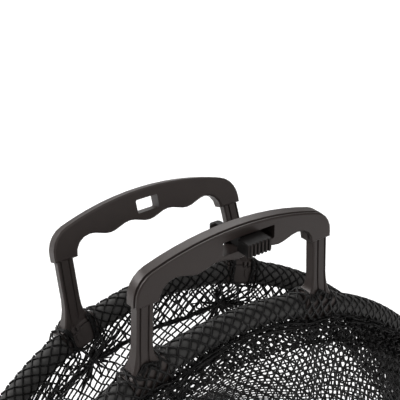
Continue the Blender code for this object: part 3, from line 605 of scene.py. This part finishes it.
def flap_path(rim, angle, foot):
    """One column of a flap: its points, their runs, the way that it faces, and its hems' runs.

    A run is the distance along the netting from the foam's top, positive outward."""
    side = SIDES[rim]
    centre, outward, upward = rim_frame(rim, angle)
    foot_angle = angle * FLAP_FOOT_END / FLAP_END
    hold = HOOP_RADIUS + HOLD_OFF
    held = np.array((hold * math.sin(foot_angle), side * hold * math.cos(foot_angle), -HOLD_DROP))
    rise = centre - held
    length = np.linalg.norm(rise)
    off = one_long(np.array((0.0, side * rise[2], -side * rise[1])))

    def apron(share):
        """Points of the hanging net, from the hoop at 0 to the rod at 1."""
        share = np.asarray(share)[:, None]
        sag = FLAP_SAG * math.cos(angle) ** 2 * np.sin(np.pi * share)
        return held + rise * share - off * sag

    drop = min(np.interp(angle * HOOP_RADIUS, *zip(*HEM_DROP[rim])), HEM_LOWEST * length)
    hem_share = 1 - drop / length
    hem = apron([hem_share])[0]
    fall = hem - centre
    aim = math.atan2(fall @ outward, fall @ upward)
    wrap = math.acos(min(0.98, NET_RADIUS / math.hypot(fall @ outward, fall @ upward)))
    turns = np.linspace(aim + wrap - 2 * math.pi, aim - wrap, 40)
    ring = outward * np.sin(turns)[:, None] + upward * np.cos(turns)[:, None]
    over = centre + over_foot(turns, foot)[:, None] * ring
    even = np.linspace(0, 1, 12)[:, None]
    inside = hem + (over[0] - hem) * even[:-1] - off * 0.5 * MM * (1 - even)[:-1]
    outside = over[-1] + (hem - over[-1]) * even[1:]
    hanging = apron(np.linspace(hem_share, 0, 90)[1:])
    points = np.concatenate((inside, over, outside, hanging))
    steps = np.linalg.norm(np.diff(points, axis=0), axis=1)
    first = len(inside)
    last = first + len(turns) - 1
    steps[first:last] = NET_RADIUS * np.diff(turns)
    run = np.concatenate(([0], np.cumsum(steps)))
    run -= run[first] - NET_RADIUS * turns[0]
    return points, run, off, (run[0], run[last + len(outside)])


class Flap:
    """Netting of one half of the mouth. A spot on it is a column, counted from the rim's middle, and a run
    or a row. Each column follows the mouth hoop at its foot and the rim at its top."""

    def __init__(self, rim):
        self.rim = rim
        self.half = int(FLAP_END * HOOP_RADIUS / RIM_COLUMN)
        self.strands = np.arange(-self.half, self.half + 1)
        angles = np.arange(-self.half - 1, self.half + 2) * RIM_COLUMN / HOOP_RADIUS
        from_foot = np.abs(np.abs(angles * HOOP_RADIUS) - FOOT_PLACE)
        feet = np.clip((CLAMP_REACH - from_foot) / CLAMP_RAMP, 0, 1)
        paths = [flap_path(rim, angle, foot) for angle, foot in zip(angles, feet)]
        self.lowest = min(run[0] for points, run, off, hems in paths)
        self.highest = max(run[-1] for points, run, off, hems in paths)
        self.runs = np.arange(self.lowest - RUN_STEP, self.highest + 2 * RUN_STEP, RUN_STEP)
        table = [
            [np.interp(self.runs, run, points[:, axis]) for axis in range(3)]
            for points, run, off, hems in paths
        ]
        self.table = np.moveaxis(np.array(table), 1, 2) + np.array((0, 0, HINGE_HEIGHT))
        self.offs = np.array([off for points, run, off, hems in paths])
        self.limits = np.array([(run[0], run[-1], *hems) for points, run, off, hems in paths])
        lean = LEANS[rim]
        inward = -SIDES[rim] * LEG_INSET[rim]
        leg_y = inward * math.cos(lean) - math.sin(lean)
        self.up_leg = np.array((0, leg_y, inward * math.sin(lean) + math.cos(lean)))

    def neighbours(self, column):
        """Number of the path left of a column, and how far the column is on to the next one."""
        left = np.clip(np.floor(column).astype(int) + self.half + 1, 0, len(self.table) - 2)
        return left, (column + self.half + 1 - left)[..., None]

    def between(self, values, column):
        """A value kept for each path, worked out at a column."""
        left, share = self.neighbours(column)
        return values[left] + (values[left + 1] - values[left]) * share

    def ends(self, column):
        """A column's first and last run, and its inner and outer hem's."""
        return np.moveaxis(self.between(self.limits, column), -1, 0)

    def spare(self, column):
        """Length of netting bunched up below the foam."""
        right = np.clip((column * RIM_COLUMN - RIGHT_START) / RIGHT_RAMP, 0, 1)
        return SLACK[self.rim] * (1 + SLACK_RIGHT * right)

    def bunched(self, column, run):
        """Run on the flap once the spare netting is bunched, and how far its tucks stand out, in mm."""
        first, last, *hems = self.ends(column)
        spare = self.spare(column)
        inner = INNER_START + (run - INNER_START) * INNER_STRETCH[self.rim]
        run = np.where(run < INNER_START, inner, run)
        under = np.maximum(run - UNDERSIDE, 0)
        fade = np.exp(-under / np.maximum(SLACK_FADE * spare, MM))
        wave = 2 * np.pi * run / TUCK_PITCH + 2.2 * np.sin(column / 8) + 1.1 * np.sin(column / 3.1 + 1)
        tuck = spare / TUCK_SLACK * np.sin(wave) * (1 - np.exp(-under / TUCK_RAMP)) * fade
        return np.clip(run - spare * (1 - fade), first, last), tuck

    def drawn(self, column, run, pushed):
        """Where the feet push a spot, where the hem and puckers draw it, and how near a pucker it is."""
        first, last, *hems = self.ends(column)
        place = column * RIM_COLUMN
        if pushed:
            inside = np.clip((run + PUSH_INSIDE) / PUSH_INSIDE_RAMP, 0, 1)
            place = crowded(place, foot_push(run / NET_RADIUS) * inside)
        pull = np.zeros_like(place)
        for hem in hems:
            run = run + (hem - run) * HEM_DRAW * np.exp(-(((run - hem) / HEM_NEAR) ** 2))
        for pucker in PUCKERS:
            for hem in hems:
                along = (place - pucker) / PUCKER_WIDTH
                down = (run - hem) / PUCKER_DEPTH
                near = np.exp(-(along**2) - down**2)
                place = place + (pucker - place) * PUCKER_DRAW[0] * near
                run = run + (hem - run) * PUCKER_DRAW[1] * near
                pull = pull + near
        return place / RIM_COLUMN, run, pull

    def rucks(self, column, run):
        """How far the slack folds stand off the flap, in mm. Over the foam there are none."""
        first, last, inner_hem, outer_hem = self.ends(column)
        along = column * RIM_COLUMN / MM
        drop = np.where(run < 0, inner_hem - run, run - outer_hem) / MM  # below the hem
        inside = np.clip(-run / (12 * MM) - 1.4, 0, 1)
        outside = np.clip(run / (12 * MM) - 1.2, 0, 1)
        free = np.where(run < 0, inside, outside) * np.clip((last - run) / (20 * MM), 0, 1)
        fine = RUCK_FINE * np.sin(along / 2.6 + 3 * np.sin(along / 31) + drop / 9)
        fine = fine * np.exp(-np.maximum(drop, 0) / 45)
        wave = np.sin(along / 17 + 1.1 * np.sin(drop / 23))
        wide = RUCK_WIDE * wave * np.sin(drop / 38 + along / 60 + 1)
        return (fine + wide) * (1 - 0.8 * np.exp(-((drop / 14) ** 2))) * free

    def laid(self, column, run):
        """Points of the smooth flap, before it is rucked."""
        height = (run - self.runs[0]) / RUN_STEP
        step = np.clip(height.astype(int), 0, len(self.runs) - 2)
        up = (height - step)[..., None]
        number, share = self.neighbours(column)
        left = self.table[number, step] * (1 - up) + self.table[number, step + 1] * up
        right = self.table[number + 1, step] * (1 - up) + self.table[number + 1, step + 1] * up
        return left + (right - left) * share

    def place(self, column, row, pushed=True, climb=0.0):
        """Points of the netting. climb raises them up the outer face of a leg."""
        run, tuck = self.bunched(column, row * RIM_ROW)
        column, run, pull = self.drawn(column, run, pushed)
        first, last, *hems = self.ends(column)
        run = np.clip(run, first, last)
        stand = (self.rucks(column, run) + PULL_OUT * pull + tuck) * MM
        climbed = self.up_leg * np.asarray(climb)[..., None]
        return self.laid(column, run) + climbed + self.between(self.offs, column) * stand[..., None]

    def place_by_leg(self, column, row):
        """Points of a twine that ends on the leg instead of going over the foot."""
        outer = row > 0
        climb = np.where(outer, np.clip(SLIT_TOP - row * RIM_ROW, 0, CLIMB), 0)
        return self.place(column, np.where(outer, np.maximum(row, SLIT_TOP / RIM_ROW), row), False, climb)

    def surface(self, column, row, *how):
        """Points of the netting, and the ways that it faces there."""
        over = self.place(column + CELL_STEP, row, *how) - self.place(column - CELL_STEP, row, *how)
        lift = self.place(column, row + CELL_STEP, *how) - self.place(column, row - CELL_STEP, *how)
        return self.place(column, row, *how), one_long(np.cross(over, lift))

    def mesh_twines(self):
        """Points and faces of each column's zigzag twine."""
        first_row = int(self.lowest / RIM_ROW) - 1
        last_row = int((self.highest + self.spare(self.strands).max()) / RIM_ROW) + 1
        columns, rows = zigzag(self.strands, range(first_row, last_row + 1), hold=JOIN)
        first, last, *hems = self.ends(columns)
        runs = rows * RIM_ROW
        within = (runs > first - RIM_ROW) & (runs < last + self.spare(columns) + RIM_ROW)
        parts = []
        for number, strand in enumerate(self.strands):
            place = self.place
            here = within[number]
            run = runs[number]
            if abs(abs(strand * RIM_COLUMN) - FOOT_PLACE) < SLIT:
                place = self.place_by_leg
                here = here & ((run > SLIT_TOP - CLIMB) | (run < SLIT_FOOT))
            keep = (here[:-1] & here[1:])[None]
            spot = slice(number, number + 1)
            parts.append(net(place, columns[spot], rows[spot], keep, FLAP_TWINE[self.rim]))
        return parts


def hem_twines(flap):
    """Pieces of the hem: several twines that wander along the inner edge, one piece for each column."""
    pieces = []
    for strand in flap.strands:
        column = np.linspace(strand - 0.52, strand + 0.52, 5)[None]
        first, last, inner_hem, outer_hem = flap.ends(column)
        along = column * RIM_COLUMN
        beyond_feet = np.clip((np.abs(along) - FRAY_START) / FRAY_RAMP, 0, 1)
        spread = HEM_SPREAD[flap.rim] + HEM_FRAY * beyond_feet
        parts = []
        for number in range(HEM_TWINES):
            slow = 0.9 * np.sin(along / ((7 + 2 * number) * MM) + 2.1 * number)
            wander = (slow + 0.5 * np.sin(along / (2.9 * MM) + number)) * MM
            run = outer_hem + wander + (number - (HEM_TWINES - 1) / 2) * spread
            lines, outs = flap.surface(column, run / RIM_ROW)
            parts.append(twines(lines + outs * (number % 3 - 1) * 0.5 * MM, outs, TWINE))
        pieces.append(gathered(parts))
    return pieces


def pucker_folds(flap, pucker):
    """Twines gathered into folds that run out from a pucker like a star."""
    number = np.arange(FOLDS * FOLD_TWINES)[:, None]
    fold = number // FOLD_TWINES
    layer = number % FOLD_TWINES
    aim = 2 * np.pi * fold / FOLDS + 0.07 * layer + 0.25 * np.sin(1.7 * fold)
    length = (FOLD_LENGTH + FOLD_VARIES * np.sin(2.3 * fold + 1) - FOLD_LESS * layer) * MM
    out = np.linspace(0.02, 1, 12)[None] * length
    bow = 0.25 * np.sin(out / (7 * MM) + number)
    column = (pucker + out * np.cos(aim + bow)) / RIM_COLUMN
    first, last, inner_hem, outer_hem = flap.ends(column)
    run = outer_hem + out * np.sin(aim + bow)
    lines, outs = flap.surface(column, run / RIM_ROW)
    return twines(lines + outs * (layer - 1)[..., None] * 0.6 * MM, outs, TWINE)


def slit_edges(flap):
    """Twines bound round the two slits that the feet come through."""
    turn = np.linspace(0, 2 * np.pi, 97)
    middle = (SLIT_TOP + SLIT_FOOT) / 2
    half = (SLIT_TOP - SLIT_FOOT) / 2
    parts = []
    for foot in (-FOOT_PLACE, FOOT_PLACE):
        for number in range(4):
            wander = (0.6 * np.sin((5 + number) * turn + 2 * number) + 0.35 * (number - 1.5)) * MM
            across = np.clip(1.25 * np.sin(turn), -1, 1) * (FOOT_CLEAR + wander)
            along = np.clip(1.12 * np.cos(turn), -1, 1) * (half + wander)
            column = ((foot + across) / RIM_COLUMN)[None]
            row = ((middle + along) / RIM_ROW)[None]
            climb = (CLIMB * np.clip(1 - (across / (5 * MM)) ** 2, 0, 1) * (along > 0))[None]
            lines, outs = flap.surface(column, row, False, climb)
            lift = (0.25 + 0.35 * (number % 2)) * MM * (row > 0)
            parts.append(twines(lines + outs * lift[..., None], outs, TWINE))
    return made(flap.rim + "_slit_edges", gathered(parts), twine_finish)


for rim in SIDES:
    flap = Flap(rim)
    bound = slit_edges(flap)
    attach(bound, rim + "_rim")
    hem_parts = hem_twines(flap)
    if rim == "rear":
        for pucker in PUCKERS:
            nearest = int(np.argmin(np.abs(flap.strands * RIM_COLUMN - pucker)))
            hem_parts[nearest] = gathered([hem_parts[nearest], pucker_folds(flap, pucker)])
    strips = []
    for strand, mesh_part, hem_part in zip(flap.strands, flap.mesh_twines(), hem_parts):
        strip = made(f"{rim}_strip_{len(strips)}", gathered([mesh_part, hem_part]), twine_finish)
        column = np.array([float(strand)])
        first, last, inner_hem, outer_hem = flap.ends(column)
        low = flap.place(column, last / RIM_ROW)[0]
        high = flap.place(column, (outer_hem - HEM_TO_RIM) / RIM_ROW)[0]
        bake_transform(strip)
        strips.append(strip)
    with bpy.context.temp_override(active_object=strips[0], selected_editable_objects=strips):
        bpy.ops.object.join()
    netting = strips[0]
    netting.name = rim + "_netting"
    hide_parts(rim + "_net")


# Handles and clamp caps. Black-brown nylon, injection moulded in a finely eroded tool, so its faces have
# a faint grain and its edges catch the light.

def moulded_nylon(name, dark, pale):
    """Satin nylon between two tones."""
    finish = Finish(name)
    cloud = finish.grain(9 * MM)
    speck = finish.grain(0.35 * MM, 3.0)
    tone = finish.mix(cloud, dark, pale)
    edge = finish.node("Bevel", {"samples": 6}, {"Radius": 0.45 * MM})
    return finish.coat(
        base_color=tone,
        roughness=0.36 + 0.12 * cloud,
        specular_ior_level=0.34,
        specular_tint=(1, 0.94, 0.93, 1),
        normal=finish.relief(speck, 0.03 * MM, edge),
    )


def moulding(name, node):
    """A handle whose curved faces run smooth and whose corners stay crisp."""
    rough = nodes[node].data
    spots = np.empty(3 * len(rough.vertices))
    rough.vertices.foreach_get("co", spots)
    spots, same = np.unique(np.round(spots.reshape(-1, 3), 6), axis=0, return_inverse=True)
    corners = np.empty(len(rough.loops), int)
    rough.loops.foreach_get("vertex_index", corners)
    faces = same.ravel()[corners].reshape(-1, 3)
    whole = (faces != np.roll(faces, 1, axis=1)).all(axis=1)
    mesh = bpy.data.meshes.new(name)
    mesh.from_pydata(spots.tolist(), [], faces[whole].tolist())
    mesh.shade_smooth()
    mesh.set_sharp_from_angle(angle=math.radians(24))
    mesh.materials.append(nylon)
    piece = bpy.data.objects.new(name, mesh)
    bpy.context.scene.collection.objects.link(piece)
    piece.modifiers.new("crisp", "WEIGHTED_NORMAL").keep_sharp = True
    return piece


nylon = moulded_nylon("moulded_nylon", (0.026, 0.0195, 0.0175), (0.033, 0.025, 0.0225))
# Painted light: the clamp caps get a paler copy of the handles' nylon, which stands in for light falling on
# them.
cap_nylon = moulded_nylon("cap_nylon", (0.038, 0.031, 0.029), (0.048, 0.040, 0.037))
for rim in SIDES:
    handle = moulding(rim + "_grip", rim + "_handle")
    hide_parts(rim + "_handle")
    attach(handle, rim + "_rim")
    for hand in ("left", "right"):
        nodes[f"{rim}_clamp_cap_{hand}"].data.materials[0] = cap_nylon


# Latch. A ribbed thumb pad of the same nylon slides in the front handle's window and carries the hook on
# its back plate. Its colour is painted near black, as shade over the pad's top, and the faces that look to
# the front are painted paler, as light on its ribs.

def latch_nylon():
    """Nylon with painted light: near black as painted shade, and painted paler on the faces that look to the
    front.
    """
    finish = Finish("latch_nylon")
    speck = finish.grain(0.35 * MM, 3.0)
    surface = finish.node("TexCoord", output="Normal")
    outward = {0: surface, 1: (0, -1, 0)}
    toward = finish.node("VectorMath", {"operation": "DOT_PRODUCT"}, outward, output="Value")
    # Painted light: faces turned to the front (-y) are painted paler, as if lit, and the rest stay near black
    # as painted shade.
    painted_front_light = finish.math("MAXIMUM", toward, 0) ** 2 * (0.75 + 0.25 * speck)
    tone = finish.mix(painted_front_light, (0.006, 0.005, 0.0048), (0.036, 0.029, 0.027))
    edge = finish.node("Bevel", {"samples": 6}, {"Radius": 0.3 * MM})
    return finish.coat(
        base_color=tone,
        roughness=0.5 + 0.1 * speck,
        specular_ior_level=0.18,
        normal=finish.relief(speck, 0.02 * MM, edge),
    )


dark_nylon = latch_nylon()
for name in ("latch_slider", "latch_hook"):
    nodes[name].data.materials[0] = dark_nylon


# Studio. A white sweep and three soft boxes, two behind the net and one in front, as in a catalogue
# picture. The floor shows plain white to the camera and keeps the net's soft shadow.

FLOOR_HALF = 12.0
LIT_PLACE = Vector((0, 0.02, 0.3))  # between the handles


def sweep():
    """Floor of white paper."""
    mesh = bpy.data.meshes.new("floor")
    corners = [(x * FLOOR_HALF, y * FLOOR_HALF, 0) for x, y in ((-1, -1), (1, -1), (1, 1), (-1, 1))]
    mesh.from_pydata(corners, [], [(0, 1, 2, 3)])
    floor = bpy.data.objects.new("floor", mesh)
    bpy.context.scene.collection.objects.link(floor)
    finish = Finish("floor_paper")
    plain = finish.node("LightPath", output="Is Camera Ray")
    for ray in ("Is Glossy Ray", "Is Transmission Ray"):
        plain = plain + finish.node("LightPath", output=ray)
    glow = finish.mix(plain, (0, 0, 0), (0.33, 0.33, 0.33))
    mesh.materials.append(finish.coat(
        base_color=(0.92, 0.92, 0.92, 1),
        roughness=0.9,
        emission_color=glow,
        emission_strength=1.0,
    ))


def lamp(name, place, size, power, flood=1.0):
    """Square soft box that faces the handles. flood is its share in matte light."""
    light = bpy.data.lights.new(name, "AREA")
    light.size = size
    light.energy = power
    light.diffuse_factor = flood
    box = bpy.data.objects.new(name, light)
    box.location = place
    box.rotation_euler = (LIT_PLACE - box.location).to_track_quat("-Z", "Y").to_euler()
    bpy.context.scene.collection.objects.link(box)


class Surround(Finish):
    """Light from all round the studio, with nodes like a material's."""

    def __init__(self, name):
        self.material = bpy.data.worlds.new(name)
        self.material.use_nodes = True
        self.tree = self.material.node_tree
        self.shader = self.tree.nodes["Background"]


def studio_light():
    """White to the camera, and on the object brightest from above and the left."""
    room = Surround("studio")
    ways = {0: room.node("TexCoord", output="Generated"), 1: (-0.45, 0.25, 0.75)}
    facing = room.node("VectorMath", {"operation": "DOT_PRODUCT"}, ways, output="Value")
    bright = room.math("MAXIMUM", 0.25 + 0.9 * facing, 0.25)
    seen = room.node("LightPath", output="Is Camera Ray")
    mirrored = room.node("LightPath", output="Is Glossy Ray")
    gloss = mirrored + room.node("LightPath", output="Is Transmission Ray")
    strength = seen + (1 - seen) * bright * (0.5 + 0.5 * gloss)
    return room.coat(color=(1, 1, 1, 1), strength=strength)


sweep()
lamp("soft_box_left", place=(-1.2, 1.5, 1.6), size=0.9, power=36, flood=0.35)
lamp("soft_box_behind", place=(1.0, 1.75, 1.7), size=1.3, power=16)
lamp("soft_box_front", place=(0.6, -1.8, 1.5), size=1.6, power=13)
bpy.context.scene.world = studio_light()

camera = bpy.data.objects.new("camera", bpy.data.cameras.new("camera"))
camera.location = (-0.2713, -0.3503, 0.6289)
camera.rotation_euler = (math.radians(63.54), math.radians(0.26), math.radians(-36.37))
camera.data.lens = 94.5
camera.data.sensor_width = 36
bpy.context.scene.collection.objects.link(camera)
bpy.context.scene.camera = camera
bpy.context.scene.view_settings.view_transform = "Standard"
